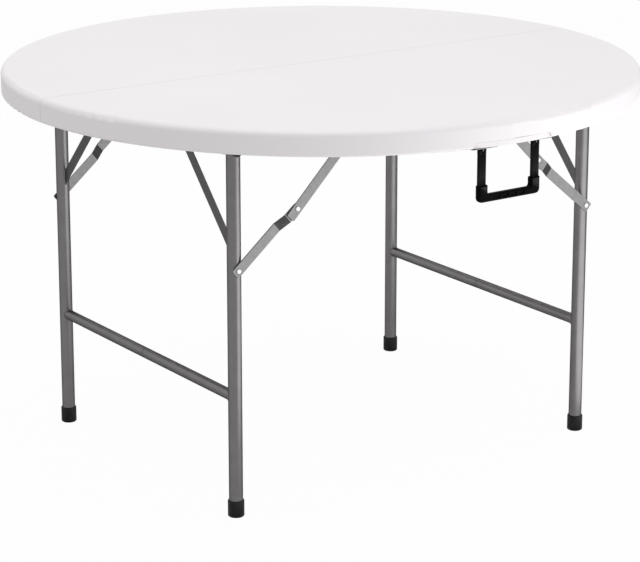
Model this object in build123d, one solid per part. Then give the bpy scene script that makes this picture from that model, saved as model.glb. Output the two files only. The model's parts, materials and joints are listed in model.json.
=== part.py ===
"""Round folding garden table, 1220 mm across and 740 mm high.

X runs along the seam between the two top halves, Y points to the rear half, and the
floor is at Z = 0 under the middle of the top. The handle hangs at the front, on -Y.
"""
from build123d import *
import math
import os

os.makedirs("parts", exist_ok=True)

# Table top
TOP_R = 610.0
TOP_H = 740.0
RIM_DEPTH = 45.0
RIM_WIDTH = 34.0
PANEL_T = 15.0
TOP_EDGE_R = 11.0
RIM_FOOT_R = 5.0
RECESS_R = 8.0
SEAM_HALF = 0.5
DIMPLE_W = 62.0
DIMPLE_D = 3.0
DIMPLE_PITCH = 92.0
DIMPLE_CORNER_R = 9.0
DIMPLE_ROWS = 2
DIMPLE_COLS = 3
DIMPLE_FIRST_Y = 118.0
LEDGE_W = 168.0
LEDGE_H = 11.0
LEDGE_D = 2.5
LEDGE_CORNER_R = 8.0

# Leg frames
LEG_INSET = 210.0
LEG_Y = 308.0
TUBE_R = 12.7
TUBE_WALL = 1.2
LOW_PIVOT_DROP = 58.5
LAYER_STEP = 28.5
TUBE_PAST_LEG = 1.3
STRETCHER_Z = 225.0
STRETCHER_R = 10.0
STRETCHER_WALL = 1.2
STRUT_W = 19.0
STRUT_T = 3.0
STRUT_DROP = 248.0
STRUT_ANGLE = 47.3
CAP_R = 15.0
CAP_H = 31.0
CAP_FLOOR = 4.0
CAP_EDGE = 1.5
END_PLUG_T = 2.0
END_PLUG_DEPTH = 14.0

# Plugs that join the two lengths of a cross tube at the seam
COUPLER_DEPTH = 24.0
NOSE_LENGTH = 10.0
NOSE_ROOT_R = 7.5
NOSE_TIP_R = 5.0
NOSE_CLEAR = 0.3

# Folding braces
RIVET_DROP = 278.0
LOW_BRACE_REACH = 235.0
HIGH_BRACE_EXTRA = 35.0
KNEE_OFFSET = 8.0
LINK_W = 19.0
LINK_T = 2.5
LINK_CORNER_R = 3.0
LINK_GAP = 0.5
JOGGLE_STEP = 9.0
JOGGLE_RUN = 23.0
JOGGLE_TO_KNEE = 25.0
UPPER_LINK_TAIL = 22.0
KNEE_GAP = 0.3
RIVET_R = 3.0
RIVET_CLEAR = 0.05
RIVET_HEAD_R = 5.0
RIVET_HEAD_T = 2.0
RIVET_HEAD_BEVEL = 1.2
BLIND_HEAD_R = 4.0
BLIND_HEAD_T = 2.0
BLIND_HEAD_GAP = 1.3
BRACKET_T = 2.5
BRACKET_W = 34.0
BRACKET_FOOT = 26.0
BRACKET_END_R = 12.0

# Pivot saddles under the panel
SADDLE_CLEAR = 0.3
SADDLE_WALL = 3.2
SADDLE_W = 24.0
SADDLE_FOOT = 62.0
SADDLE_FOOT_T = 3.0
SADDLE_INNER_Y = 55.0
SADDLE_TO_LEG = 36.0
SCREW_HEAD_R = 4.4
SCREW_HEAD_T = 2.0

# Seam hinges
HINGE_INSET = 105.0
HINGE_W = 60.0
HINGE_MIDDLE_W = 20.0
HINGE_PLATE_D = 44.0
HINGE_PLATE_T = 2.5
HINGE_WEB_T = 3.0
KNUCKLE_R = 6.0
HINGE_PIN_R = 3.0
HINGE_GAP = 0.3
HINGE_SCREW_Y = 30.0
HINGE_SCREW_X = 20.0

# Carrying handle
HANDLE_X = -16.0
HANDLE_INSET = 18.0
HANDLE_W = 132.0
HANDLE_ARM_W = 14.0
HANDLE_ARM_T = 8.0
HANDLE_DROP = 99.0
GRIP_H = 14.0
GRIP_T = 12.0
COLLAR_H = 31.0
COLLAR_W = 20.5
COLLAR_OUTSET = 2.2
POCKETS = 4
POCKET_W = 13.0
POCKET_H = 6.0
POCKET_DEPTH = 2.0
POCKET_PITCH = 18.0
COLLAR_CORNER_R = 9.0
GRIP_EDGE_R = 2.5
CLIP_T = 1.2
CLIP_W = 52.0
CLIP_D = 22.0
CLIP_EAR_T = 1.5
CLIP_EAR_GAP = 0.6
CLIP_EAR_R = 4.5
HANDLE_PIN_R = 2.0
HANDLE_PLAY = 0.4
CLIP_SCREW_INSET = 6.0

OVERRUN = 5.0

RIM_Z = TOP_H - RIM_DEPTH
CEILING_Z = TOP_H - PANEL_T
SEAM_CLEAR = 2 * SEAM_HALF
RECESS_OUTER_R = TOP_R - RIM_WIDTH
LEG_X = TOP_R - LEG_INSET
LOW_PIVOT_Z = TOP_H - LOW_PIVOT_DROP
HIGH_PIVOT_Z = LOW_PIVOT_Z + LAYER_STEP
TOP_TUBE_HALF = LEG_Y + TUBE_R + TUBE_PAST_LEG
STRUT_LEG_Z = TOP_H - STRUT_DROP
HIGH_BRACE_REACH = LOW_BRACE_REACH + HIGH_BRACE_EXTRA
RIVET_Z = TOP_H - RIVET_DROP
HINGE_X = TOP_R - HINGE_INSET
HANDLE_Y = HANDLE_INSET - TOP_R
HANDLE_BOTTOM_Z = RIM_Z - HANDLE_DROP
COLLAR_TOP_Z = HANDLE_BOTTOM_Z + COLLAR_H
HALF_TURN = 180
QUARTER_TURN = 90

FRAMES = {
    "left": {"side": -1, "pivot_z": LOW_PIVOT_Z, "reach": LOW_BRACE_REACH},
    "right": {"side": 1, "pivot_z": HIGH_PIVOT_Z, "reach": HIGH_BRACE_REACH},
}
ENDS = {"rear": 1, "front": -1}


def save(name, *solids):
    """Write one node, as one solid or as a group of separate solids."""
    shape = solids[0] if len(solids) == 1 else Compound(children=list(solids))
    shape.label = name
    export_step(shape, os.path.join("parts", name + ".step"))


def rod(p0, p1, radius):
    """A straight cylinder between two points."""
    start, end = Vector(*p0), Vector(*p1)
    axis = end - start
    plane = Plane(origin=start, z_dir=axis)
    return extrude(plane * Circle(radius), amount=axis.length)


def tube(p0, p1, radius, wall):
    """A hollow straight tube between two points."""
    return rod(p0, p1, radius) - rod(p0, p1, radius - wall)


def block(x, y, z):
    """A box from three (low, high) pairs."""
    centre = [(low + high) / 2 for low, high in (x, y, z)]
    size = [abs(high - low) for low, high in (x, y, z)]
    return Pos(*centre) * Box(*size)


def solid_of(shape):
    """The one solid of a cut or fused shape."""
    return shape.solids()[0]


# Table top halves

def top_profile():
    """Half section of the blow-moulded top, from the middle out to the rim."""
    outline = Polyline(
        (0, CEILING_Z),
        (RECESS_OUTER_R - RECESS_R, CEILING_Z),
        (RECESS_OUTER_R, RIM_Z),
        (TOP_R, RIM_Z),
        (TOP_R, TOP_H),
        (0, TOP_H),
        close=True,
    )
    face = make_face(Plane.XZ * outline)

    def corner(radius, height):
        return face.vertices().sort_by_distance(Vector(radius, 0, height))[0]

    face = fillet(corner(TOP_R, TOP_H), TOP_EDGE_R)
    face = fillet(corner(TOP_R, RIM_Z), RIM_FOOT_R)
    return fillet(corner(RECESS_OUTER_R, RIM_Z), RIM_FOOT_R)


def dimple_places():
    """Middles of the moulded tack-off hollows under one half."""
    places = []
    for row in range(DIMPLE_ROWS):
        y = DIMPLE_FIRST_Y + row * DIMPLE_PITCH
        for column in range(DIMPLE_COLS):
            x = (column - (DIMPLE_COLS - 1) / 2) * DIMPLE_PITCH
            places.append((x, y))
    return places


def top_half(end):
    """One half of the top, with the hollows of its underside."""
    half = revolve(top_profile(), Axis.Z, HALF_TURN)
    if end < 0:
        half = Rot(0, 0, HALF_TURN) * half
    half = Pos(0, end * SEAM_HALF, 0) * half
    keep = block(
        (-TOP_R, TOP_R),
        tuple(sorted((end * SEAM_HALF, end * TOP_R))),
        (RIM_Z - OVERRUN, TOP_H + OVERRUN),
    )
    half = half & keep
    for x, y in dimple_places():
        hollow = Plane((x, end * y, CEILING_Z)) * RectangleRounded(DIMPLE_W, DIMPLE_W, DIMPLE_CORNER_R)
        half -= extrude(hollow, amount=DIMPLE_D)
    return solid_of(half)


def handle_ledge():
    """Shallow moulded ledge in the rim, above the handle."""
    middle_z = RIM_Z + (LEDGE_H - LEDGE_CORNER_R) / 2
    plane = Plane(origin=(HANDLE_X, -TOP_R - OVERRUN, middle_z), z_dir=(0, 1, 0), x_dir=(1, 0, 0))
    outline = RectangleRounded(LEDGE_W, LEDGE_H + LEDGE_CORNER_R, LEDGE_CORNER_R)
    pocket = extrude(plane * outline, amount=RIM_WIDTH)
    inner = Cylinder(TOP_R - LEDGE_D, RIM_DEPTH)
    return pocket - Pos(0, 0, RIM_Z) * inner


save("top_half_rear", top_half(1))
save("top_half_front", solid_of(top_half(-1) - handle_ledge()))


# Seam hinges

def hinge_leaf(middle_x, end):
    """One leaf: a plate under the panel, a web and its knuckles on the seam axis."""
    near = end * SEAM_CLEAR
    plate = block(
        (middle_x - HINGE_W / 2, middle_x + HINGE_W / 2),
        (near, near + end * HINGE_PLATE_D),
        (CEILING_Z - HINGE_PLATE_T, CEILING_Z),
    )
    half, inner = HINGE_W / 2, HINGE_MIDDLE_W / 2
    spans = [(-inner, inner)]
    if end > 0:
        spans = [(-half, -inner - HINGE_GAP), (inner + HINGE_GAP, half)]
    leaf = plate
    for low, high in spans:
        x = (middle_x + low, middle_x + high)
        leaf += block(x, (near, near + end * HINGE_WEB_T), (RIM_Z, CEILING_Z - HINGE_PLATE_T))
        leaf += rod((x[0], 0, RIM_Z), (x[1], 0, RIM_Z), KNUCKLE_R)
    bore = HINGE_PIN_R + RIVET_CLEAR
    leaf -= rod((middle_x - HINGE_W, 0, RIM_Z), (middle_x + HINGE_W, 0, RIM_Z), bore)
    return solid_of(leaf)


def screw(x, y, under_z):
    """The pan head of a screw, seated on a plate's lower face."""
    return rod((x, y, under_z - SCREW_HEAD_T), (x, y, under_z), SCREW_HEAD_R)


HINGES = (-HINGE_X, 0, HINGE_X)
save("seam_hinge_leaves_rear", *[hinge_leaf(x, 1) for x in HINGES])
save("seam_hinge_leaves_front", *[hinge_leaf(x, -1) for x in HINGES])
save("seam_hinge_pins", *[
    rod((x - HINGE_W / 2, 0, RIM_Z), (x + HINGE_W / 2, 0, RIM_Z), HINGE_PIN_R) for x in HINGES
])
save("seam_hinge_screws", *[
    screw(x + dx * HINGE_SCREW_X, end * HINGE_SCREW_Y, CEILING_Z - HINGE_PLATE_T)
    for x in HINGES for dx in (-1, 1) for end in (-1, 1)
])


# Pivot saddles that carry the top tubes

def saddle(x, y, pivot_z):
    """A pressed saddle round a top tube, with a foot plate under the panel."""
    bore = TUBE_R + SADDLE_CLEAR
    outer = bore + SADDLE_WALL
    low, high = y - SADDLE_W / 2, y + SADDLE_W / 2
    body = block((x - outer, x + outer), (low, high), (pivot_z, CEILING_Z))
    body += rod((x, low, pivot_z), (x, high, pivot_z), outer)
    body += block(
        (x - SADDLE_FOOT / 2, x + SADDLE_FOOT / 2), (low, high), (CEILING_Z - SADDLE_FOOT_T, CEILING_Z)
    )
    body -= rod((x, low - OVERRUN, pivot_z), (x, high + OVERRUN, pivot_z), bore)
    keep = block(
        (x - SADDLE_FOOT, x + SADDLE_FOOT), (low - OVERRUN, high + OVERRUN),
        (pivot_z - SADDLE_FOOT, CEILING_Z),
    )
    return solid_of(body & keep)


SADDLE_YS = [end * y for end in ENDS.values() for y in (SADDLE_INNER_Y, LEG_Y - SADDLE_TO_LEG)]
SADDLE_SCREW_X = (TUBE_R + SADDLE_CLEAR + SADDLE_WALL + SADDLE_FOOT / 2) / 2
for name, frame in FRAMES.items():
    x = frame["side"] * LEG_X
    save(name + "_pivot_saddles", *[saddle(x, y, frame["pivot_z"]) for y in SADDLE_YS])
    save(name + "_saddle_screws", *[
        screw(x + dx * SADDLE_SCREW_X, y, CEILING_Z - SADDLE_FOOT_T)
        for y in SADDLE_YS for dx in (-1, 1)
    ])


# Leg frames

def leg(x, end, pivot_z):
    """A leg tube from inside its foot cap up to the top tube that it is welded to."""
    y = end * LEG_Y
    shape = tube((x, y, CAP_FLOOR), (x, y, pivot_z), TUBE_R, TUBE_WALL)
    shape -= rod((x, y - TUBE_R * 2, pivot_z), (x, y + TUBE_R * 2, pivot_z), TUBE_R)
    shape -= rod((x, y, RIVET_Z), (x, y + end * TUBE_R * 2, RIVET_Z), RIVET_R)
    return solid_of(shape)


def strut(x, end, pivot_z):
    """A flat bar welded between a leg and the top tube, in the plane of the frame."""
    start = Vector(x, end * LEG_Y, STRUT_LEG_Z)
    across = (pivot_z - STRUT_LEG_Z) / math.tan(math.radians(STRUT_ANGLE))
    finish = Vector(x, end * (LEG_Y - across), pivot_z)
    along = finish - start
    plane = Plane(origin=(start + finish) / 2, x_dir=along, z_dir=(1, 0, 0))
    bar = extrude(plane * Rectangle(along.length + STRUT_W, STRUT_W), amount=STRUT_T / 2, both=True)
    bar -= rod((x, end * LEG_Y, 0), (x, end * LEG_Y, TOP_H), TUBE_R)
    bar -= rod((x, -TOP_R, pivot_z), (x, TOP_R, pivot_z), TUBE_R)
    return bar.solids().sort_by(SortBy.VOLUME)[-1]


def coupler(x, z, bore_r):
    """The two end plugs that join a cross tube at the seam: a tapered nose and its socket."""
    near = SEAM_HALF
    nose = rod((x, near, z), (x, near + COUPLER_DEPTH, z), bore_r)
    plane = Plane(origin=(x, near, z), z_dir=(0, -1, 0))
    nose += loft([plane * Circle(NOSE_ROOT_R), plane.offset(NOSE_LENGTH) * Circle(NOSE_TIP_R)])
    socket = rod((x, -near, z), (x, -near - COUPLER_DEPTH, z), bore_r)
    hole = loft([
        plane * Circle(NOSE_ROOT_R + NOSE_CLEAR),
        plane.offset(NOSE_LENGTH + NOSE_CLEAR) * Circle(NOSE_TIP_R + NOSE_CLEAR),
    ])
    return [solid_of(nose), solid_of(socket - hole)]


def foot_cap(x, y):
    """A moulded rubber cap over the end of a leg."""
    cap = rod((x, y, 0), (x, y, CAP_H), CAP_R)
    cap = chamfer(cap.edges().filter_by(GeomType.CIRCLE), CAP_EDGE)
    cap -= rod((x, y, CAP_FLOOR), (x, y, CAP_H + OVERRUN), TUBE_R)
    return solid_of(cap)


def end_plug(x, end, z):
    """A plastic plug in the outer end of a top tube."""
    face = end * TOP_TUBE_HALF
    plug = rod((x, face, z), (x, face + end * END_PLUG_T, z), TUBE_R)
    plug += rod((x, face - end * END_PLUG_DEPTH, z), (x, face, z), TUBE_R - TUBE_WALL)
    return solid_of(plug)


for name, frame in FRAMES.items():
    x = frame["side"] * LEG_X
    pivot_z = frame["pivot_z"]
    for end_name, end in ENDS.items():
        y = end * LEG_Y
        near = end * SEAM_HALF
        save(f"{name}_{end_name}_leg", leg(x, end, pivot_z))
        save(f"{name}_{end_name}_top_tube",
             tube((x, near, pivot_z), (x, end * TOP_TUBE_HALF, pivot_z), TUBE_R, TUBE_WALL))
        bar = tube((x, near, STRETCHER_Z), (x, y, STRETCHER_Z), STRETCHER_R, STRETCHER_WALL)
        bar -= rod((x, y, 0), (x, y, TOP_H), TUBE_R)
        save(f"{name}_{end_name}_stretcher", bar.solids().sort_by(SortBy.VOLUME)[-1])
        save(f"{name}_{end_name}_strut", strut(x, end, pivot_z))
    save(name + "_frame_couplers", *coupler(x, pivot_z, TUBE_R - TUBE_WALL),
         *coupler(x, STRETCHER_Z, STRETCHER_R - STRETCHER_WALL))
    save(name + "_foot_caps", *[foot_cap(x, end * LEG_Y) for end in ENDS.values()])
    save(name + "_top_tube_plugs", *[end_plug(x, end, pivot_z) for end in ENDS.values()])


# Folding braces

LOWER_FACE = LEG_Y + TUBE_R + LINK_GAP
UPPER_FACE = LOWER_FACE + JOGGLE_STEP + LINK_T + KNEE_GAP
BRACKET_FACE = UPPER_FACE + LINK_T + KNEE_GAP


def brace_points(frame):
    """Leg rivet, knee and bracket pin of a brace in (inward, height), as it stands open.

    The link lengths follow from the stowed brace, in which both links lie along the
    folded leg: the upper one is longer by the reach less the rivet's depth.
    """
    depth = frame["pivot_z"] - RIVET_Z
    reach = frame["reach"]
    span = math.hypot(reach, depth)
    extra = reach - depth
    total = math.sqrt((span**2 + 4 * KNEE_OFFSET**2 - extra**2) / (1 - extra**2 / span**2))
    along = (span**2 - extra * total) / (2 * span)
    dx, dz = reach / span, depth / span
    knee = (along * dx + KNEE_OFFSET * dz, RIVET_Z + along * dz - KNEE_OFFSET * dx)
    return (0, RIVET_Z), knee, (reach, frame["pivot_z"])


def link_plane(frame, end, point, towards, face):
    """A plane on a link's inner face, at its pin, with X along the link."""
    side = frame["side"]
    origin = (side * (LEG_X - point[0]), end * face, point[1])
    direction = (-side * (towards[0] - point[0]), 0, towards[1] - point[1])
    return Plane(origin=origin, x_dir=direction, z_dir=(0, end, 0))


def lower_link(frame, end):
    """The link on the leg: squared at its rivet, joggled outward, round behind the knee."""
    rivet, knee, _ = brace_points(frame)
    length = math.dist(rivet, knee)
    plane = link_plane(frame, end, rivet, knee, LOWER_FACE)
    half = LINK_W / 2
    bend_end = length - JOGGLE_TO_KNEE
    bend_start = bend_end - JOGGLE_RUN
    side_view = Polyline(
        (-half, 0), (bend_start, 0), (bend_end, JOGGLE_STEP), (length + half, JOGGLE_STEP),
        (length + half, JOGGLE_STEP + LINK_T), (bend_end, JOGGLE_STEP + LINK_T),
        (bend_start, LINK_T), (-half, LINK_T), close=True,
    )
    edge_plane = Plane(origin=plane.origin, x_dir=plane.x_dir, z_dir=plane.x_dir.cross(plane.z_dir))
    strip = extrude(edge_plane * make_face(side_view), amount=half, both=True)
    outline = Pos(length / 2, 0) * SlotOverall(length + LINK_W, LINK_W)
    outline += Pos(half, 0) * RectangleRounded(2 * LINK_W, LINK_W, LINK_CORNER_R)
    strip &= extrude(plane * outline, amount=JOGGLE_STEP + LINK_T)
    return solid_of(strip - extrude(plane * Circle(RIVET_R + RIVET_CLEAR), amount=LINK_T))


def upper_link(frame, end):
    """The flat link from the knee up to the bracket pin."""
    _, knee, pin = brace_points(frame)
    length = math.dist(knee, pin)
    plane = link_plane(frame, end, knee, pin, UPPER_FACE)
    whole = UPPER_LINK_TAIL + length + LINK_W / 2
    outline = Pos(whole / 2 - UPPER_LINK_TAIL, 0) * RectangleRounded(whole, LINK_W, LINK_CORNER_R)
    link = extrude(plane * outline, amount=LINK_T)
    link -= extrude(plane * Circle(RIVET_R), amount=LINK_T)
    link -= extrude(plane * Pos(length, 0) * Circle(RIVET_R + RIVET_CLEAR), amount=LINK_T)
    return solid_of(link)


def headed_rivet(x, z, end, low_y, high_y):
    """A rivet along Y between two faces, with a bevelled head at the outer one."""
    shape = rod((x, end * low_y, z), (x, end * high_y, z), RIVET_R)
    plane = Plane(origin=(x, end * high_y, z), z_dir=(0, end, 0))
    head = extrude(plane * Circle(RIVET_HEAD_R), amount=RIVET_HEAD_T)
    rim = head.faces().sort_by_distance(plane.offset(RIVET_HEAD_T).origin)[0].edges()
    return solid_of(shape + chamfer(rim, RIVET_HEAD_BEVEL))


def leg_rivet(x, end):
    """A blind rivet through a leg's outer wall, with its blind head inside the tube."""
    blind_y = LEG_Y + TUBE_R - TUBE_WALL - BLIND_HEAD_GAP
    shape = headed_rivet(x, RIVET_Z, end, blind_y, LOWER_FACE + LINK_T)
    blind = rod((x, end * (blind_y - BLIND_HEAD_T), RIVET_Z), (x, end * blind_y, RIVET_Z), BLIND_HEAD_R)
    return solid_of(shape + blind)


def brace_bracket(frame, end):
    """An L bracket under the panel, with an ear that holds the upper link's pin."""
    side = frame["side"]
    x = side * (LEG_X - frame["reach"])
    z = frame["pivot_z"]
    near, far = sorted((end * BRACKET_FACE, end * (BRACKET_FACE + BRACKET_T)))
    ear = block((x - BRACKET_W / 2, x + BRACKET_W / 2), (near, far), (z, CEILING_Z))
    tip = Plane(origin=(x, end * BRACKET_FACE, z), z_dir=(0, end, 0))
    ear += extrude(tip * Circle(BRACKET_END_R), amount=BRACKET_T)
    ear &= block((x - BRACKET_W, x + BRACKET_W), (near, far), (z - BRACKET_W, CEILING_Z))
    foot_y = sorted((end * BRACKET_FACE, end * (BRACKET_FACE + BRACKET_FOOT)))
    ear += block((x - BRACKET_W / 2, x + BRACKET_W / 2), tuple(foot_y),
                 (CEILING_Z - BRACKET_T, CEILING_Z))
    ear -= extrude(tip * Circle(RIVET_R), amount=BRACKET_T)
    return solid_of(ear)


BRACKET_SCREW_Y = BRACKET_FACE + (BRACKET_T + BRACKET_FOOT) / 2
for name, frame in FRAMES.items():
    side = frame["side"]
    rivet, knee, pin = brace_points(frame)
    pin_x = side * (LEG_X - pin[0])
    knee_x = side * (LEG_X - knee[0])
    save(name + "_leg_rivets", *[leg_rivet(side * LEG_X, end) for end in ENDS.values()])
    save(name + "_bracket_pins", *[
        headed_rivet(pin_x, pin[1], end, UPPER_FACE, BRACKET_FACE + BRACKET_T) for end in ENDS.values()
    ])
    save(name + "_knee_rivets", *[
        headed_rivet(knee_x, knee[1], end, UPPER_FACE, UPPER_FACE + LINK_T) for end in ENDS.values()
    ])
    save(name + "_brace_brackets", *[brace_bracket(frame, end) for end in ENDS.values()])
    save(name + "_bracket_screws", *[
        screw(pin_x + dx * BRACKET_W / 4, end * BRACKET_SCREW_Y, CEILING_Z - BRACKET_T)
        for end in ENDS.values() for dx in (-1, 1)
    ])
    for end_name, end in ENDS.items():
        save(f"{name}_{end_name}_lower_link", lower_link(frame, end))
        save(f"{name}_{end_name}_upper_link", upper_link(frame, end))
    lower_turn = QUARTER_TURN - math.degrees(math.atan2(knee[1] - rivet[1], knee[0] - rivet[0]))
    upper_turn = math.degrees(math.atan2(pin[1] - knee[1], pin[0] - knee[0]))
    print(name, "knee", knee, "lower link turns", lower_turn, "upper link turns", upper_turn)


# Carrying handle and its clips

HANDLE_PIN_Z = RIM_Z - CLIP_T - HANDLE_PLAY - HANDLE_ARM_T / 2
ARM_OFFSET = (HANDLE_W - HANDLE_ARM_W) / 2
ARM_XS = (HANDLE_X - ARM_OFFSET, HANDLE_X + ARM_OFFSET)


def handle_arm(x):
    """One flat arm, round at its pin and slotted there for the clip's ear."""
    arm_x = (x - HANDLE_ARM_W / 2, x + HANDLE_ARM_W / 2)
    arm_y = (HANDLE_Y - HANDLE_ARM_T / 2, HANDLE_Y + HANDLE_ARM_T / 2)
    arm = block(arm_x, arm_y, (COLLAR_TOP_Z, HANDLE_PIN_Z))
    arm += rod((arm_x[0], HANDLE_Y, HANDLE_PIN_Z), (arm_x[1], HANDLE_Y, HANDLE_PIN_Z), HANDLE_ARM_T / 2)
    half_slot = CLIP_EAR_T / 2 + CLIP_EAR_GAP
    arm -= block((x - half_slot, x + half_slot), (arm_y[0] - OVERRUN, arm_y[1] + OVERRUN),
                 (HANDLE_PIN_Z - CLIP_EAR_R - CLIP_EAR_GAP, RIM_Z))
    return arm - rod((arm_x[0] - OVERRUN, HANDLE_Y, HANDLE_PIN_Z),
                     (arm_x[1] + OVERRUN, HANDLE_Y, HANDLE_PIN_Z), HANDLE_PIN_R + RIVET_CLEAR)


def handle_grip():
    """The thick lower part: two collars, the grip between them and its moulded pockets."""
    width = HANDLE_W + 2 * COLLAR_OUTSET
    plane = Plane(origin=(HANDLE_X, HANDLE_Y, HANDLE_BOTTOM_Z), x_dir=(1, 0, 0), z_dir=(0, -1, 0))
    outline = Pos(0, COLLAR_H / 2) * Rectangle(width, COLLAR_H)
    outline = fillet(outline.vertices().group_by(Axis.Y)[0], COLLAR_CORNER_R)
    window = Pos(0, GRIP_H + COLLAR_H / 2) * Rectangle(width - 2 * COLLAR_W, COLLAR_H)
    window = fillet(window.vertices().group_by(Axis.Y)[0], COLLAR_CORNER_R / 2)
    grip = extrude(plane * (outline - window), amount=GRIP_T / 2, both=True)
    grip = fillet(grip.edges().filter_by(Axis.X).group_by(Axis.Z)[0], GRIP_EDGE_R)
    for step in range(POCKETS):
        x = (step - (POCKETS - 1) / 2) * POCKET_PITCH
        pocket = plane.offset(GRIP_T / 2) * Pos(x, GRIP_H / 2) * Rectangle(POCKET_W, POCKET_H)
        grip -= extrude(pocket, amount=-POCKET_DEPTH)
    return grip


def carry_handle():
    """A U-shaped moulded handle: flat arms, thicker collars and a thick grip."""
    return solid_of(handle_arm(ARM_XS[0]) + handle_arm(ARM_XS[1]) + handle_grip())


def clip(x):
    """A thin metal plate under the rim with an ear that holds a handle pin."""
    plate = block((x - CLIP_W / 2, x + CLIP_W / 2),
                  (HANDLE_Y - CLIP_D / 2, HANDLE_Y + CLIP_D / 2), (RIM_Z - CLIP_T, RIM_Z))
    ear_x = (x - CLIP_EAR_T / 2, x + CLIP_EAR_T / 2)
    plate += block(ear_x, (HANDLE_Y - CLIP_EAR_R, HANDLE_Y + CLIP_EAR_R), (HANDLE_PIN_Z, RIM_Z - CLIP_T))
    plate += rod((ear_x[0], HANDLE_Y, HANDLE_PIN_Z), (ear_x[1], HANDLE_Y, HANDLE_PIN_Z), CLIP_EAR_R)
    return solid_of(plate - rod((x - CLIP_W, HANDLE_Y, HANDLE_PIN_Z),
                                (x + CLIP_W, HANDLE_Y, HANDLE_PIN_Z), HANDLE_PIN_R))


save("carry_handle", carry_handle())
save("handle_clips", *[clip(x) for x in ARM_XS])
save("handle_pins", *[
    rod((x - HANDLE_ARM_W / 2, HANDLE_Y, HANDLE_PIN_Z), (x + HANDLE_ARM_W / 2, HANDLE_Y, HANDLE_PIN_Z),
        HANDLE_PIN_R)
    for x in ARM_XS
])
save("handle_clip_screws", *[
    screw(x + dx * (CLIP_W / 2 - CLIP_SCREW_INSET), HANDLE_Y, RIM_Z - CLIP_T)
    for x in ARM_XS for dx in (-1, 1)
])
print("handle pin height", HANDLE_PIN_Z)
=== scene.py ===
"""Looks of the round folding garden table: materials, small trim, floor, light and camera."""

import json
import math

import bmesh
import bpy
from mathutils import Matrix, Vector

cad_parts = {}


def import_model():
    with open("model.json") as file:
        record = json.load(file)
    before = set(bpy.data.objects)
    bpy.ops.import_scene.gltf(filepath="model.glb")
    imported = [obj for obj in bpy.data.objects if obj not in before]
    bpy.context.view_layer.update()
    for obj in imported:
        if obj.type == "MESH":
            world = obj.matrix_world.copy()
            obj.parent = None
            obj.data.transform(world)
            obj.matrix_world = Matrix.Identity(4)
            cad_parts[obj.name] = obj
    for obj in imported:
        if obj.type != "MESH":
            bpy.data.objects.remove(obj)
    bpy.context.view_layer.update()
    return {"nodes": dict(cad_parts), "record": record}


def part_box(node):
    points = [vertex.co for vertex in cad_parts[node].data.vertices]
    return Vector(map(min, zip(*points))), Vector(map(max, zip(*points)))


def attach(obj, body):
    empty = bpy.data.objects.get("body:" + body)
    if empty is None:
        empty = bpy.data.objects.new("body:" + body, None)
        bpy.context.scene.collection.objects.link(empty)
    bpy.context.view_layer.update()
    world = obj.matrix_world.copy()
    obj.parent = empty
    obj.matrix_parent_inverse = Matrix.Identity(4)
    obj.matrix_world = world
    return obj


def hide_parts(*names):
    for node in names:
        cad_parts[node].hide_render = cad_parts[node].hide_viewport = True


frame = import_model()
NODES = frame["nodes"]
MM = 0.001
X, Y, Z = range(3)

# Colours, as linear red, green and blue
WHITE = (1, 1, 1)
TOP_WHITE = (0.832, 0.808, 0.826)
TOP_WHITE_DULL = (0.82, 0.795, 0.813)
TOP_WHITE_PALE = (0.846, 0.823, 0.84)
# Painted shade: the grey of the lip over the handle, which draws the shade line along the ledge
LIP_PAINTED_SHADE = (0.5, 0.49, 0.5)
LIP_PAINTED_SHADE_DULL = (0.44, 0.43, 0.44)
LIP_PAINTED_SHADE_PALE = (0.6, 0.59, 0.6)
COAT_TINT = (1, 0.97, 0.99)
COAT_ON_TUBES = 0.2
# Painted shade: the struts wear a darker tone of the same powder coat
STRUT_COAT_PAINTED_SHADE = 0.15
ZINC = (0.2, 0.197, 0.197)
ZINC_DULL = (0.188, 0.185, 0.185)
ZINC_PALE = (0.216, 0.213, 0.213)
BRIGHT_METAL = (0.6, 0.6, 0.6)
PLASTIC_BLACK = (0.002, 0.0018, 0.002)
# Painted highlight on the sharper edges of the black plastic
EDGE_PAINTED_HIGHLIGHT = (0.03, 0.029, 0.03)
RUBBER_BLACK = (0.009, 0.009, 0.009)
RUBBER_DARK = (0.006, 0.006, 0.006)
RUBBER_SCUFFED = (0.015, 0.0145, 0.014)
SURROUND = (0.98, 0.97, 0.975)

# Painted shade on the bent facet of a brace: the share of its brightness that a brace keeps, by the
# size of its normal along Y, which is 1 on the flats, 0.93 on the bent facet and 0 on the thin
# edges
FACET_PAINTED_SHADE = (0.35, 0.35, 0.35)
FACET_PAINTED_SHADE_RAMP = ((0.5, WHITE), (0.6, FACET_PAINTED_SHADE), (0.95, FACET_PAINTED_SHADE), (0.985, WHITE))

# Nodes whose finish differs a little from that of their slot, by the end of their name; the struts'
# darker copy of the powder coat is painted shade
NODE_FINISHES = {"strut": "strut_painted_shade", "clips": "zinc_steel"}

# Rounding of the CAD's sharp edges, in metres, by the end of the node's name
SOFT_EDGES = {
    "handle_clips": 0.25 * MM,
    "foot_caps": 0.6 * MM,
    "link": 0.35 * MM,
    "brackets": 0.5 * MM,
    "saddles": 0.6 * MM,
    "strut": 0.5 * MM,
    "rivets": 0.7 * MM,
}
SOFT_SEGMENTS = 2
SOFT_FROM_DEGREES = 50
SOFT_WELD_REACH = 0.02 * MM

# Weld beads, and the struts that they follow, in metres
BEAD_R = 1.5 * MM
BEAD_RIPPLE = 0.22
BEAD_PITCH = 2.4 * MM
BEAD_LEAST_RIPPLES = 6
BEAD_SIDES = 8
BEAD_STEPS = 96
STRUT_DEGREES = 47.3
STRUT_START_Z = 492 * MM
STRUT_HALF_W = 9.5 * MM
STRUT_HALF_T = 1.5 * MM
STRUT_BEAD_SPREAD = 1.3
STRUT_BEAD_POWER = 0.4

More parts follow.
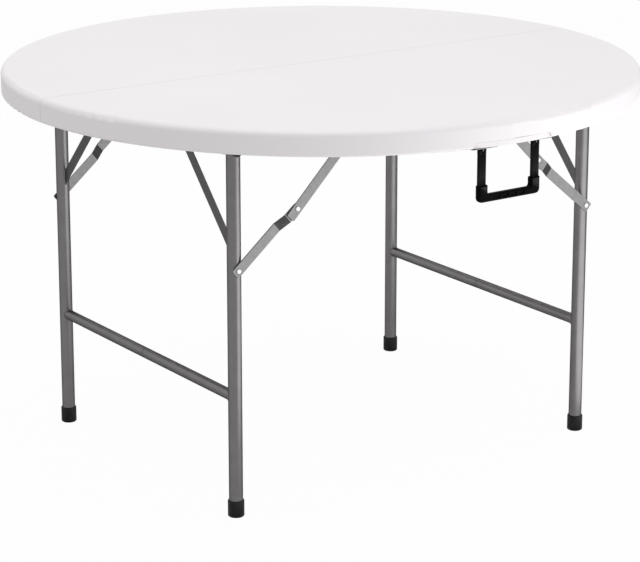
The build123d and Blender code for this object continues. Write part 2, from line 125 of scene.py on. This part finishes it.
# Screw heads: steps of the profile as shares of the radius and of the height, and the
# cross recess in metres
SCREW_SIDES = 32
SCREW_PROFILE = ((1.0, 0.0), (1.0, 0.45), (0.96, 0.7), (0.86, 0.9), (0.7, 1.0))
SCREW_MERGE_REACH = 0.001 * MM
RECESS_ARM = 2.3 * MM
RECESS_HALF = 0.55 * MM
RECESS_DEPTH = 1.0 * MM
RECESS_FLOOR_SHARE = 0.8

# Arms of the moulded handle, in metres
ARM_HALF_W = 7.8 * MM
ARM_HALF_T = 4.0 * MM
ARM_INSET = 9.2 * MM
ARM_IN_COLLAR = 4 * MM
ARM_STEPS = 32
ARM_POWER = 0.36
ARM_END_RUN = 0.6 * MM
ARM_END_SHARE = 0.96
SLOT_HALF_W = 1.35 * MM
SLOT_FLOOR_Z = 684.3 * MM
PRONG_ROOT = 1.5 * MM
PRONG_STEPS = 24
PRONG_POWER = 0.4
PRONG_END_STEPS = 8
PRONG_TIP_SHARE = 0.12
PRONG_NARROWING = 0.15

# Collars and grip of the moulded handle, in metres
CORNER_STEPS = 8
COLLAR_W = 20.5 * MM
COLLAR_H = 31.0 * MM
COLLAR_TOP_R = 1.6 * MM
COLLAR_LEAST_R = 0.2 * MM
GRIP_H = 14.0 * MM
GRIP_HALF_T = 6.0 * MM
GRIP_EDGE = 3.6 * MM
GRIP_EDGE_STEPS = 6
OUTER_CORNER = 9.0 * MM
INNER_CORNER = 4.5 * MM
POCKETS = 4
POCKET_PITCH = 18.0 * MM
POCKET_HALF_W = 6.5 * MM
POCKET_HALF_H = 3.0 * MM
POCKET_DEPTH = 2.0 * MM
POCKET_FLOOR_W_SHARE = 0.93
POCKET_FLOOR_H_SHARE = 0.88

# Lip of the moulded ledge over the handle, in metres
LIP_LOW_X = -100 * MM
LIP_HIGH_X = 68 * MM
LIP_FOOT = 4 * MM
LIP_RISE = 11 * MM
LIP_CORNER = 8 * MM
LIP_R = 0.7 * MM
LIP_FLATNESS = 0.5
LIP_SIDES = 8
LIP_STEPS = 40
LIP_END_SHARE = 0.3
LIP_END_GROWTH = 0.35

# Camera, fitted to the feet, stretchers and rim of the photograph
IMAGE_WIDTH = 640
CAMERA_AZIMUTH = 34.831
CAMERA_DISTANCE = 4.6106
CAMERA_HEIGHT = 1.6625
CAMERA_PITCH = 14.372
CAMERA_ASIDE = -0.0012
FOCAL_PIXELS = 2444.5
SHIFT_PIXELS = -90
SENSOR_WIDTH = 36.0

# Lights: places and aims are metres to the right, away and up as the camera looks
OVERHEAD_PLACE = (0, -0.4, 4.2)
OVERHEAD_AIM = (0, 0, 0.6)
OVERHEAD_SIDE = 3.6
OVERHEAD_WATTS = 56
SOFTBOX_PLACE = (1.2, -0.74, 0.48)
SOFTBOX_AIM = (-0.1, 0, 2.95)
SOFTBOX_WIDTH = 1.2
SOFTBOX_HEIGHT = 1.9
SOFTBOX_WATTS = 10.1
SURROUND_STRENGTH = 0.68

# Floor, and how far it shows plain white, seen and in reflections
FLOOR_R = 40
FLOOR_SIDES = 64
FLOOR_GREY = (0.8, 0.8, 0.8)
FLOOR_WHITE_SEEN = 0.97
FLOOR_WHITE_MIRRORED = 0.2


# Materials

def material(name, color, roughness, metallic=0.0):
    """A new Principled material, returned with its node tree and shader."""
    mat = bpy.data.materials.new(name)
    mat.use_nodes = True
    tree = mat.node_tree
    shader = tree.nodes["Principled BSDF"]
    shader.inputs["Base Color"].default_value = (*color, 1)
    shader.inputs["Roughness"].default_value = roughness
    shader.inputs["Metallic"].default_value = metallic
    return mat, tree, shader


def noise(tree, scale, detail=4.0, stretch=(1, 1, 1)):
    """Noise in the object's own coordinates, in metres."""
    coords = tree.nodes.new("ShaderNodeTexCoord")
    mapping = tree.nodes.new("ShaderNodeMapping")
    mapping.inputs["Scale"].default_value = stretch
    texture = tree.nodes.new("ShaderNodeTexNoise")
    texture.inputs["Scale"].default_value = scale
    texture.inputs["Detail"].default_value = detail
    tree.links.new(coords.outputs["Object"], mapping.inputs["Vector"])
    tree.links.new(mapping.outputs["Vector"], texture.inputs["Vector"])
    return texture.outputs["Fac"]


def voronoi(tree, scale):
    """Cell distance in the object's own coordinates, in metres."""
    coords = tree.nodes.new("ShaderNodeTexCoord")
    texture = tree.nodes.new("ShaderNodeTexVoronoi")
    texture.feature = "SMOOTH_F1"
    texture.inputs["Scale"].default_value = scale
    tree.links.new(coords.outputs["Object"], texture.inputs["Vector"])
    return texture.outputs["Distance"]


def ramp(tree, value, stops):
    """A colour ramp over a value, from (place, colour) stops."""
    node = tree.nodes.new("ShaderNodeValToRGB")
    elements = node.color_ramp.elements
    while len(elements) < len(stops):
        elements.new(0.5)
    for element, (place, color) in zip(elements, stops):
        element.position = place
        element.color = (*color, 1)
    tree.links.new(value, node.inputs["Fac"])
    return node.outputs["Color"]


def mottle(tree, shader, value, *stops):
    """Lets the base colour wander with a value, through (place, colour) stops."""
    tree.links.new(ramp(tree, value, stops), shader.inputs["Base Color"])


def vary_roughness(tree, shader, value, low, high):
    """Lets the roughness wander from low to high with a value from 0 to 1."""
    node = tree.nodes.new("ShaderNodeMapRange")
    node.inputs["To Min"].default_value = low
    node.inputs["To Max"].default_value = high
    tree.links.new(value, node.inputs["Value"])
    tree.links.new(node.outputs["Result"], shader.inputs["Roughness"])


def bump(tree, shader, *heights):
    """Adds bumps one after another, from (value, strength, distance in metres)."""
    previous = None
    for value, strength, distance in heights:
        node = tree.nodes.new("ShaderNodeBump")
        node.inputs["Strength"].default_value = strength
        node.inputs["Distance"].default_value = distance
        tree.links.new(value, node.inputs["Height"])
        if previous:
            tree.links.new(previous, node.inputs["Normal"])
        previous = node.outputs["Normal"]
    tree.links.new(previous, shader.inputs["Normal"])


def moulded_top():
    """White blow-moulded polyethylene: a fine pebbled grain and a slight waviness."""
    mat, tree, shader = material("moulded_top", TOP_WHITE, roughness=0.42)
    shader.inputs["Specular IOR Level"].default_value = 0.45
    patches = noise(tree, scale=2.2, detail=2.0)
    mottle(tree, shader, patches, (0.3, TOP_WHITE_DULL), (0.7, TOP_WHITE_PALE))
    vary_roughness(tree, shader, noise(tree, scale=60), low=0.36, high=0.5)
    bump(tree, shader,
         (voronoi(tree, scale=900), 0.12, 0.2 * MM),
         (noise(tree, scale=14, detail=2.0), 0.10, 0.8 * MM))
    return mat


def coat_color(tone):
    """The slightly warm grey of the powder coat, at a tone."""
    return tuple(tone * share for share in COAT_TINT)


def powder_coat(name, tone):
    """Grey metallic powder coat on steel: satin with fine orange peel."""
    mat, tree, shader = material(name, coat_color(tone), roughness=0.34, metallic=1.0)
    shader.inputs["Specular Tint"].default_value = (0.25, 0.25, 0.25, 1)
    mottle(tree, shader, noise(tree, scale=35),
           (0.35, coat_color(tone * 0.96)), (0.65, coat_color(tone * 1.04)))
    vary_roughness(tree, shader, noise(tree, scale=220), low=0.3, high=0.38)
    bump(tree, shader, (noise(tree, scale=1100, detail=2.0), 0.08, 0.1 * MM))
    return mat


def zinc_plate():
    """Zinc-plated flat bar: pale grey, with a faint rolled grain and painted shade on the bent
    facet.
    """
    mat, tree, shader = material("zinc_plate", ZINC, roughness=0.4, metallic=0.9)
    shader.inputs["Specular Tint"].default_value = (0.4, 0.4, 0.4, 1)
    coords = tree.nodes.new("ShaderNodeTexCoord")
    parts = tree.nodes.new("ShaderNodeSeparateXYZ")
    size = tree.nodes.new("ShaderNodeMath")
    size.operation = "ABSOLUTE"
    tree.links.new(coords.outputs["Normal"], parts.inputs["Vector"])
    tree.links.new(parts.outputs["Y"], size.inputs[0])
    mix = tree.nodes.new("ShaderNodeMix")
    mix.data_type = "RGBA"
    mix.blend_type = "MULTIPLY"
    mix.inputs["Factor"].default_value = 1.0
    plate = ramp(tree, noise(tree, scale=90, detail=5.0), ((0.3, ZINC_DULL), (0.7, ZINC_PALE)))
    tree.links.new(plate, mix.inputs["A"])
    # Painted shade: the bent facet of a brace is darkened by the direction of its normal
    tree.links.new(ramp(tree, size.outputs[0], FACET_PAINTED_SHADE_RAMP), mix.inputs["B"])
    tree.links.new(mix.outputs["Result"], shader.inputs["Base Color"])
    vary_roughness(tree, shader, noise(tree, scale=60), low=0.36, high=0.46)
    bump(tree, shader, (noise(tree, scale=500, detail=3.0, stretch=(1, 1, 6)), 0.03, 0.1 * MM))
    return mat


def bright_plate():
    """Bright plated rivets, pins and screws."""
    mat, tree, shader = material("bright_plate", BRIGHT_METAL, roughness=0.25, metallic=0.8)
    vary_roughness(tree, shader, noise(tree, scale=300), low=0.2, high=0.34)
    bump(tree, shader, (noise(tree, scale=900, detail=2.0), 0.1, 0.08 * MM))
    return mat


def black_plastic():
    """Black moulded nylon: satin, with a fine spark-eroded grain and a painted highlight on its
    edges.
    """
    mat, tree, shader = material("black_plastic", PLASTIC_BLACK, roughness=0.3)
    shader.inputs["Specular IOR Level"].default_value = 0.022
    surface = tree.nodes.new("ShaderNodeNewGeometry")
    # Painted highlight: the sharper edges are paler by their pointiness
    mottle(tree, shader, surface.outputs["Pointiness"],
           (0.54, PLASTIC_BLACK), (0.64, EDGE_PAINTED_HIGHLIGHT))
    vary_roughness(tree, shader, noise(tree, scale=150), low=0.26, high=0.36)
    bump(tree, shader, (voronoi(tree, scale=1500), 0.15, 0.1 * MM))
    return mat


def shaded_lip():
    """The narrow moulded lip of the top, painted grey as the shade line along the ledge, with a
    random tone.
    """
    mat, tree, shader = material("shaded_lip", LIP_PAINTED_SHADE, roughness=0.5)
    mottle(tree, shader, noise(tree, scale=30, detail=3.0),
           (0.3, LIP_PAINTED_SHADE_DULL), (0.7, LIP_PAINTED_SHADE_PALE))
    bump(tree, shader, (voronoi(tree, scale=900), 0.12, 0.2 * MM))
    return mat


def black_rubber():
    """Black rubber of the foot caps, scuffed a little paler."""
    mat, tree, shader = material("black_rubber", RUBBER_BLACK, roughness=0.5)
    shader.inputs["Specular IOR Level"].default_value = 0.2
    mottle(tree, shader, noise(tree, scale=90), (0.4, RUBBER_DARK), (0.75, RUBBER_SCUFFED))
    bump(tree, shader, (noise(tree, scale=700, detail=3.0), 0.2, 0.15 * MM))
    return mat


FINISHES = {
    "top_plastic": moulded_top(),
    "grey_steel": powder_coat("powder_coat", COAT_ON_TUBES),
    # A darker copy of the powder coat, painted shade on the struts
    "strut_painted_shade": powder_coat("powder_coat_painted_shade_on_struts", STRUT_COAT_PAINTED_SHADE),
    "zinc_steel": zinc_plate(),
    "bright_steel": bright_plate(),
    "black_plastic": black_plastic(),
    "black_rubber": black_rubber(),
    "shaded_lip": shaded_lip(),
}


def dress_nodes():
    """Gives each CAD node the finish of its material slot, or the one kept for it."""
    slots = {part["node"]: part["material_slot"] for part in frame["record"]["subparts"]}
    for name, obj in NODES.items():
        finish = FINISHES[NODE_FINISHES.get(name.split("_")[-1], slots[name])]
        if not obj.material_slots:
            obj.data.materials.append(finish)
        for slot in obj.material_slots:
            slot.material = finish


def soften(name, width):
    """Rounds the sharp edges of a CAD node with modifiers, and leaves its mesh alone."""
    weld = NODES[name].modifiers.new("weld", "WELD")
    weld.merge_threshold = SOFT_WELD_REACH
    bevel = NODES[name].modifiers.new("soft_edges", "BEVEL")
    bevel.width = width
    bevel.segments = SOFT_SEGMENTS
    bevel.limit_method = "ANGLE"
    bevel.angle_limit = math.radians(SOFT_FROM_DEGREES)
    bevel.harden_normals = True


def soften_nodes():
    """Rounds the edges of the CAD nodes that show them."""
    for name in NODES:
        for ending, width in SOFT_EDGES.items():
            if name.endswith(ending):
                soften(name, width)


# Shared shapes

def new_object(name, data):
    """A new object in the scene that holds a mesh, a light or a camera."""
    obj = bpy.data.objects.new(name, data)
    bpy.context.scene.collection.objects.link(obj)
    return obj


def mesh_object(name, shape, finish):
    """A new mesh object in one material, from a shape that is then freed."""
    mesh = bpy.data.meshes.new(name)
    shape.to_mesh(mesh)
    shape.free()
    mesh.materials.append(finish)
    return new_object(name, mesh)


def piece(name, make, body, finish):
    """A new mesh piece that rides on a body and wears a finish."""
    shape = bmesh.new()
    make(shape)
    bmesh.ops.recalc_face_normals(shape, faces=shape.faces)
    obj = mesh_object(name, shape, FINISHES[finish])
    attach(obj, body)
    return obj


def middle(box, axis):
    """The middle of a box along one axis."""
    return (box[0][axis] + box[1][axis]) / 2


def half_span(box, axis):
    """Half the length of a box along one axis."""
    return (box[1][axis] - box[0][axis]) / 2


def turns(steps):
    """The angles of a full turn in equal steps."""
    return [2 * math.pi * k / steps for k in range(steps)]


def quarter_turn(steps):
    """The angles of a quarter turn in equal steps, with both ends."""
    return [math.pi / 2 * k / steps for k in range(steps + 1)]


def quarter_arc(x, z, radius, start):
    """A quarter arc about a middle, from an angle in degrees; a negative radius turns back."""
    turn = 90 if radius > 0 else -90
    angles = [math.radians(start + turn * k / CORNER_STEPS) for k in range(CORNER_STEPS + 1)]
    return [(x + abs(radius) * math.cos(a), z + abs(radius) * math.sin(a)) for a in angles]


def squared(wave, power):
    """A sine or cosine that is pushed out towards 1 by a power below 1."""
    return math.copysign(abs(wave) ** power, wave)


def rounded_section(half_w, half_t, steps, power):
    """A superellipse, between an oval and a rectangle."""
    return [(half_w * squared(math.cos(a), power), half_t * squared(math.sin(a), power))
            for a in turns(steps)]


def skin(shape, rings, smooth=True):
    """Faces between closed rings that have the same number of points."""
    for ring, after in zip(rings, rings[1:]):
        for k in range(len(ring)):
            nxt = (k + 1) % len(ring)
            face = shape.faces.new((ring[k], ring[nxt], after[nxt], after[k]))
            face.smooth = smooth


def capped_skin(shape, rings):
    """A skin between closed rings with a face over each end."""
    skin(shape, rings)
    shape.faces.new(rings[0])
    shape.faces.new(rings[-1])


# Weld beads

def bead(shape, path):
    """A weld bead along a closed path, with the ripples of its passes."""
    count = len(path)
    length = sum((path[i] - path[i - 1]).length for i in range(count))
    ripples = max(BEAD_LEAST_RIPPLES, round(length / BEAD_PITCH))
    rings = []
    travelled = 0.0
    for i, point in enumerate(path):
        travelled += (point - path[i - 1]).length if i else 0.0
        along = (path[(i + 1) % count] - path[i - 1]).normalized()
        across = along.orthogonal().normalized()
        other = along.cross(across)
        ripple = math.sin(2 * math.pi * ripples * travelled / length)
        radius = BEAD_R * (1 + BEAD_RIPPLE * ripple)
        rings.append([
            shape.verts.new(point + (across * math.cos(a) + other * math.sin(a)) * radius)
            for a in turns(BEAD_SIDES)
        ])
    for i, ring in enumerate(rings):
        after = rings[(i + 1) % count]
        shift = min(range(BEAD_SIDES), key=lambda k: (after[k].co - ring[0].co).length)
        skin(shape, [ring, after[shift:] + after[:shift]])


def joint_paths(side, end_name):
    """The weld paths on one leg: stretcher, strut at both ends, and top tube."""
    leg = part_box(f"{side}_{end_name}_leg")
    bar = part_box(f"{side}_{end_name}_stretcher")
    x, y, radius = middle(leg, X), middle(leg, Y), half_span(leg, X)
    inward = -1 if y > 0 else 1
    bar_z, bar_r = middle(bar, Z), half_span(bar, Z)
    pivot_z = middle(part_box(f"{side}_{end_name}_top_tube"), Z)
    lean = math.radians(STRUT_DEGREES)
    low_z = STRUT_START_Z + radius * math.tan(lean)
    low_half = STRUT_HALF_W / math.cos(lean)
    high_y = y + inward * (pivot_z - radius - STRUT_START_Z) / math.tan(lean)
    high_half = STRUT_HALF_W / math.sin(lean)

    def reach(dx):
        """How far the round tube stands out at a distance from its middle plane."""
        return math.sqrt(max(0.0, radius * radius - dx * dx))

    def beside(a):
        """The way of a bead from side to side of a strut."""
        return squared(math.cos(a), STRUT_BEAD_POWER) * STRUT_HALF_T * STRUT_BEAD_SPREAD

    def stretcher_point(a):
        dx = bar_r * math.cos(a)
        return Vector((x + dx, y + inward * reach(dx), bar_z + bar_r * math.sin(a)))

    def strut_low_point(a):
        dx = beside(a)
        return Vector((x + dx, y + inward * reach(dx), low_z + low_half * math.sin(a)))

    def strut_high_point(a):
        dx = beside(a)
        return Vector((x + dx, high_y + high_half * math.sin(a), pivot_z - reach(dx)))

    def leg_top_point(a):
        return Vector((x + radius * math.cos(a), y + radius * math.sin(a),
                       pivot_z - radius * abs(math.sin(a))))

    for joint, place in (("stretcher_weld", stretcher_point), ("strut_low_weld", strut_low_point),
                         ("strut_high_weld", strut_high_point), ("leg_top_weld", leg_top_point)):
        yield joint, [place(a) for a in turns(BEAD_STEPS)]


def weld_beads():
    """Weld beads where the stretchers, struts and top tubes meet the legs."""
    for side in ("left", "right"):
        for end_name in ("front", "rear"):
            for joint, path in joint_paths(side, end_name):
                piece(f"{side}_{end_name}_{joint}", lambda shape: bead(shape, path),
                      f"{side}_frame", "grey_steel")


# Screws

def islands(mesh):
    """The lowest and highest corners of each separate solid of a mesh."""
    shape = bmesh.new()
    shape.from_mesh(mesh)
    bmesh.ops.remove_doubles(shape, verts=shape.verts, dist=SCREW_MERGE_REACH)
    left = set(shape.verts)
    found = []
    while left:
        queue = [left.pop()]
        group = []
        while queue:
            vert = queue.pop()
            group.append(vert.co.copy())
            for edge in vert.link_edges:
                other = edge.other_vert(vert)
                if other in left:
                    left.remove(other)
                    queue.append(other)
        found.append(([min(point[i] for point in group) for i in (X, Y, Z)],
                      [max(point[i] for point in group) for i in (X, Y, Z)]))
    shape.free()
    return sorted(found)


def cross_outline(arm, half):
    """The outline of a plus sign."""
    quarter = [(arm, half), (half, half), (half, arm)]
    outline = []
    for _ in range(4):
        outline += quarter
        quarter = [(-v, u) for u, v in quarter]
    return outline


def screw_head(shape, box):
    """A pan head that faces down, with a cross recess."""
    low, high = box
    x, y, radius = middle(box, X), middle(box, Y), half_span(box, X)
    rings = [
        [shape.verts.new((x + radius * share * math.cos(a), y + radius * share * math.sin(a),
                          high[Z] - (high[Z] - low[Z]) * drop)) for a in turns(SCREW_SIDES)]
        for share, drop in SCREW_PROFILE
    ]
    shape.faces.new(rings[0])
    skin(shape, rings)
    outline = cross_outline(RECESS_ARM, RECESS_HALF)
    mouth = [shape.verts.new((x + u, y + v, low[Z])) for u, v in outline]
    deep = [shape.verts.new((x + u * RECESS_FLOOR_SHARE, y + v * RECESS_FLOOR_SHARE,
                             low[Z] + RECESS_DEPTH)) for u, v in outline]
    edges = [shape.edges.new((point, mouth[(k + 1) % len(mouth)])) for k, point in enumerate(mouth)]
    skin(shape, [mouth, deep], smooth=False)
    shape.faces.new(deep)
    rim = rings[-1]
    edges += [shape.edges.get((rim[k], rim[(k + 1) % SCREW_SIDES])) for k in range(SCREW_SIDES)]
    bmesh.ops.triangle_fill(shape, edges=edges, use_beauty=True)


def screw_heads(shape, boxes):
    """A screw head in each box."""
    for box in boxes:
        screw_head(shape, box)


def screws():
    """Cross-recessed pan heads in place of the plain ones."""
    for name in sorted(NODES):
        if name.endswith("_screws"):
            boxes = islands(NODES[name].data)
            heads = piece(f"{name}_crossed", lambda shape: screw_heads(shape, boxes),
                          "root", "bright_steel")
            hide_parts(name)


# Moulded handle

def grip_outline(low, high, inset):
    """The U-shaped outline of collars and grip, moved inwards by an inset."""
    x0, x1 = low[X] + inset, high[X] - inset
    z0 = low[Z] + inset
    collar_top = low[Z] + COLLAR_H - inset
    grip_top = low[Z] + GRIP_H - inset
    inner0, inner1 = low[X] + COLLAR_W - inset, high[X] - COLLAR_W + inset
    outer_r = OUTER_CORNER - inset
    inner_r = INNER_CORNER + inset
    top_r = max(COLLAR_LEAST_R, COLLAR_TOP_R - inset)
    return [
        *quarter_arc(x0 + outer_r, z0 + outer_r, outer_r, 180),
        *quarter_arc(x1 - outer_r, z0 + outer_r, outer_r, 270),
        *quarter_arc(x1 - top_r, collar_top - top_r, top_r, 0),
        *quarter_arc(inner1 + top_r, collar_top - top_r, top_r, 90),
        *quarter_arc(inner1 - inner_r, grip_top + inner_r, -inner_r, 0),
        *quarter_arc(inner0 + inner_r, grip_top + inner_r, -inner_r, 270),
        *quarter_arc(inner0 - top_r, collar_top - top_r, top_r, 0),
        *quarter_arc(x0 + top_r, collar_top - top_r, top_r, 90),
    ]


def pocket(shape, x, z, front_y):
    """A tapered pocket in the front of the grip, returned as the edges of its mouth."""
    outline = [(x - POCKET_HALF_W, z - POCKET_HALF_H), (x + POCKET_HALF_W, z - POCKET_HALF_H),
               (x + POCKET_HALF_W, z + POCKET_HALF_H), (x - POCKET_HALF_W, z + POCKET_HALF_H)]
    mouth = [shape.verts.new((u, front_y, v)) for u, v in outline]
    deep = [shape.verts.new((x + (u - x) * POCKET_FLOOR_W_SHARE, front_y + POCKET_DEPTH,
                             z + (v - z) * POCKET_FLOOR_H_SHARE)) for u, v in outline]
    edges = [shape.edges.new((mouth[k - 1], mouth[k])) for k in range(len(mouth))]
    skin(shape, [mouth, deep], smooth=False)
    shape.faces.new(deep)
    return edges


def moulded_grip(shape, low, high):
    """Collars and grip as one moulding with rounded edges and pockets in front."""
    middle_x, middle_y = middle((low, high), X), middle((low, high), Y)
    layers = [(GRIP_EDGE * (1 - math.cos(a)), GRIP_HALF_T - GRIP_EDGE * (1 - math.sin(a)))
              for a in quarter_turn(GRIP_EDGE_STEPS)]
    layers = layers[::-1] + [(inset, -depth) for inset, depth in layers]
    rings = [[shape.verts.new((x, middle_y + depth, z)) for x, z in grip_outline(low, high, inset)]
             for inset, depth in layers]
    skin(shape, rings)
    shape.faces.new(rings[0])
    front = rings[-1]
    edges = [shape.edges.get((front[k], front[k - 1])) for k in range(len(front))]
    for step in range(POCKETS):
        x = middle_x + (step - (POCKETS - 1) / 2) * POCKET_PITCH
        edges += pocket(shape, x, low[Z] + GRIP_H / 2, middle_y - GRIP_HALF_T)
    bmesh.ops.triangle_fill(shape, edges=edges, use_beauty=True)


def moulded_arm(shape, x, y, low_z, high_z):
    """One rounded arm with a forked end that takes the clip's ear and pin."""
    section = rounded_section(ARM_HALF_W, ARM_HALF_T, ARM_STEPS, ARM_POWER)
    stations = ((low_z, 1), (SLOT_FLOOR_Z - ARM_END_RUN, 1), (SLOT_FLOOR_Z, ARM_END_SHARE))
    capped_skin(shape, [
        [shape.verts.new((x + u * share, y + v * share, z)) for u, v in section]
        for z, share in stations
    ])
    half_prong = (ARM_HALF_W - SLOT_HALF_W) / 2
    section = rounded_section(half_prong, ARM_HALF_T, PRONG_STEPS, PRONG_POWER)
    stations = [(SLOT_FLOOR_Z - PRONG_ROOT, 1)]
    stations += [(high_z - ARM_HALF_T + ARM_HALF_T * math.sin(a),
                  max(PRONG_TIP_SHARE, math.cos(a))) for a in quarter_turn(PRONG_END_STEPS)]
    for side in (-1, 1):
        prong_x = x + side * (SLOT_HALF_W + half_prong)
        capped_skin(shape, [
            [shape.verts.new((prong_x + u * (1 - PRONG_NARROWING * (1 - share)), y + v * share, z))
             for u, v in section]
            for z, share in stations
        ])


def handle():
    """The moulded handle in place of its plain solid."""
    low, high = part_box("carry_handle")

    def mould(shape):
        moulded_grip(shape, low, high)
        arm_low = low[Z] + COLLAR_H - ARM_IN_COLLAR
        for x in (low[X] + ARM_INSET, high[X] - ARM_INSET):
            moulded_arm(shape, x, middle((low, high), Y), arm_low, high[Z])

    moulding = piece("moulded_handle", mould, "handle", "black_plastic")
    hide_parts("carry_handle")


# Lip over the handle

def lip_path():
    """The way of the lip round the ledge, on the outside of the rim."""
    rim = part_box("top_half_front")
    radius = half_span(rim, X)
    foot, top = rim[0][Z] + LIP_FOOT, rim[0][Z] + LIP_RISE
    run = LIP_HIGH_X - LIP_LOW_X - 2 * LIP_CORNER
    flat = [
        (LIP_LOW_X, foot),
        (LIP_LOW_X, top - LIP_CORNER),
        *quarter_arc(LIP_LOW_X + LIP_CORNER, top - LIP_CORNER, -LIP_CORNER, 180)[1:],
        *((LIP_LOW_X + LIP_CORNER + run * k / LIP_STEPS, top) for k in range(1, LIP_STEPS)),
        *quarter_arc(LIP_HIGH_X - LIP_CORNER, top - LIP_CORNER, -LIP_CORNER, 90),
        (LIP_HIGH_X, foot),
    ]
    return [Vector((x, -math.sqrt(radius * radius - x * x), z)) for x, z in flat]


def ledge_lip():
    """The thin lip round the shallow ledge in the rim, over the handle."""
    path = lip_path()
    last = len(path) - 1

    def lip(shape):
        rings = []
        for i, point in enumerate(path):
            along = (path[min(i + 1, last)] - path[max(i - 1, 0)]).normalized()
            out = Vector((point.x, point.y, 0)).normalized()
            across = along.cross(out).normalized()
            radius = LIP_R * min(1.0, LIP_END_SHARE + LIP_END_GROWTH * min(i, last - i))
            rings.append([
                shape.verts.new(point + (across * math.cos(a) + out * LIP_FLATNESS * math.sin(a))
                                * radius)
                for a in turns(LIP_SIDES)
            ])
        capped_skin(shape, rings)

    # The lip is real, and its grey is painted shade along the ledge
    piece("handle_ledge_lip", lip, "root", "shaded_lip")


# Floor, light and camera

def white_share(tree, seen, mirrored):
    """How white a backdrop shows: to the camera, and to glossy and transmitted rays."""
    path = tree.nodes.new("ShaderNodeLightPath")
    shares = {
        "Is Camera Ray": seen,
        "Is Glossy Ray": mirrored,
        "Is Transmission Ray": mirrored,
    }
    largest = None
    for output, share in shares.items():
        scaled = tree.nodes.new("ShaderNodeMath")
        scaled.operation = "MULTIPLY"
        scaled.inputs[1].default_value = share
        tree.links.new(path.outputs[output], scaled.inputs[0])
        if largest is None:
            largest = scaled.outputs[0]
            continue
        greater = tree.nodes.new("ShaderNodeMath")
        greater.operation = "MAXIMUM"
        tree.links.new(largest, greater.inputs[0])
        tree.links.new(scaled.outputs[0], greater.inputs[1])
        largest = greater.outputs[0]
    return largest


def show_white(tree, plain, white, share, output):
    """Mixes a white shader over a plain one by a share, into the tree's output."""
    mix = tree.nodes.new("ShaderNodeMixShader")
    tree.links.new(share, mix.inputs["Fac"])
    tree.links.new(plain.outputs[0], mix.inputs[1])
    tree.links.new(white.outputs[0], mix.inputs[2])
    tree.links.new(mix.outputs[0], tree.nodes[output].inputs["Surface"])


def floor():
    """A pale floor that shows white to the camera and keeps the table's soft shadow."""
    mat, tree, shader = material("pale_floor", FLOOR_GREY, roughness=0.9)
    shader.inputs["Specular IOR Level"].default_value = 0.0
    white = tree.nodes.new("ShaderNodeEmission")
    white.inputs["Color"].default_value = (*WHITE, 1)
    share = white_share(tree, FLOOR_WHITE_SEEN, FLOOR_WHITE_MIRRORED)
    show_white(tree, shader, white, share, "Material Output")
    shape = bmesh.new()
    bmesh.ops.create_circle(shape, cap_ends=True, segments=FLOOR_SIDES, radius=FLOOR_R)
    mesh_object("floor", shape, mat)


def world():
    """A white backdrop for the camera and a plain pale surround for the light."""
    studio = bpy.data.worlds.new("studio")
    bpy.context.scene.world = studio
    studio.use_nodes = True
    tree = studio.node_tree
    back = tree.nodes["Background"]
    back.inputs["Color"].default_value = (*SURROUND, 1)
    back.inputs["Strength"].default_value = SURROUND_STRENGTH
    white = tree.nodes.new("ShaderNodeBackground")
    white.inputs["Color"].default_value = (*WHITE, 1)
    white.inputs["Strength"].default_value = 1.0
    show_white(tree, back, white, white_share(tree, 1, 1), "World Output")


def as_seen(right, away, up):
    """A vector from its parts to the right, away and up as the camera looks."""
    turn = math.radians(CAMERA_AZIMUTH)
    return (Vector((math.cos(turn), -math.sin(turn), 0)) * right
            + Vector((math.sin(turn), math.cos(turn), 0)) * away
            + Vector((0, 0, 1)) * up)


def look_along(direction):
    """The turn that points a light or a camera along a direction."""
    return direction.to_track_quat("-Z", "Y").to_euler()


def area_light(name, place, aim, width, height, watts):
    """A soft rectangular light that points at its aim and isn't seen itself."""
    data = bpy.data.lights.new(name, "AREA")
    data.shape = "RECTANGLE"
    data.size = width
    data.size_y = height
    data.energy = watts
    obj = new_object(name, data)
    obj.location = as_seen(*place)
    obj.rotation_euler = look_along(as_seen(*aim) - as_seen(*place))
    obj.visible_camera = False


def lights():
    """A broad light above and a low slanted softbox at the right that lines the tubes."""
    area_light("overhead", OVERHEAD_PLACE, OVERHEAD_AIM,
               OVERHEAD_SIDE, OVERHEAD_SIDE, OVERHEAD_WATTS)
    area_light("softbox", SOFTBOX_PLACE, SOFTBOX_AIM,
               SOFTBOX_WIDTH, SOFTBOX_HEIGHT, SOFTBOX_WATTS)


def camera():
    """The photograph's view: a long lens, pitched down, with a little shift."""
    data = bpy.data.cameras.new("camera")
    data.sensor_width = SENSOR_WIDTH
    data.lens = FOCAL_PIXELS * SENSOR_WIDTH / IMAGE_WIDTH
    data.shift_y = SHIFT_PIXELS / IMAGE_WIDTH
    obj = new_object("camera", data)
    obj.location = as_seen(CAMERA_ASIDE, -CAMERA_DISTANCE, CAMERA_HEIGHT)
    pitch = math.radians(CAMERA_PITCH)
    obj.rotation_euler = look_along(as_seen(0, math.cos(pitch), -math.sin(pitch)))
    bpy.context.scene.camera = obj


dress_nodes()
soften_nodes()
weld_beads()
screws()
handle()
ledge_lip()
floor()
world()
lights()
camera()
bpy.context.scene.view_settings.view_transform = "Standard"
